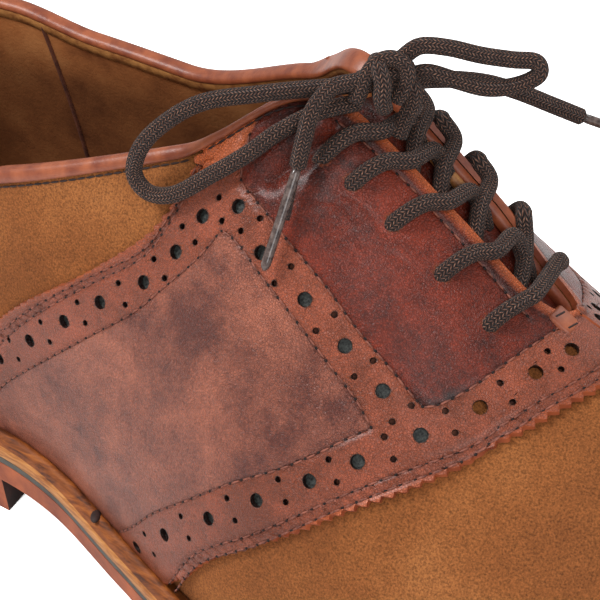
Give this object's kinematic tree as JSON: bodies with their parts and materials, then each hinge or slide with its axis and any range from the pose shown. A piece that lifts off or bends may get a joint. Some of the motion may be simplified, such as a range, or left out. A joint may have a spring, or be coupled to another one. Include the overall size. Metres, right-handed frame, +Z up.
{
  "type": "saddle shoe",
  "caption": "Low lace-up saddle shoe for the right foot, with a suede upper, a smooth leather saddle, a storm welt and a low heel.",
  "frame": {"origin": "centre of the heel's bottom face, on the floor", "axes": "+X from heel to toe along the foot, +Y to the inner side of the foot, +Z up"},
  "size_m": [0.2962, 0.1076, 0.1074],
  "materials": {
    "golden_brown_suede": "napped suede",
    "red_brown_leather": "waxed, glossy",
    "orange_brown_leather": "smooth",
    "lining_leather": "worn, matte",
    "tan_welt": "smooth",
    "dark_rubber": "matte",
    "red_brown_sole": "matte",
    "dark_brown_lace": "round braid",
    "aglet_plastic": "glossy"
  },
  "bodies": {
    "root": {"outsole": "red_brown_sole", "heel": "red_brown_sole", "midsole": "dark_rubber", "welt": "tan_welt", "insole": "lining_leather", "upper": "golden_brown_suede", "saddle": "red_brown_leather", "collar_binding": "orange_brown_leather", "tongue": "red_brown_leather", "lace_row_1": "dark_brown_lace", "lace_row_2": "dark_brown_lace", "lace_row_3": "dark_brown_lace", "lace_row_4": "dark_brown_lace", "lace_row_5": "dark_brown_lace", "lace_knot": "dark_brown_lace", "lace_loop_near": "dark_brown_lace", "lace_loop_far": "dark_brown_lace", "lace_end_near": "dark_brown_lace", "lace_end_far": "dark_brown_lace", "aglet_near": "aglet_plastic", "aglet_far": "aglet_plastic"}
  },
  "joints": []
}
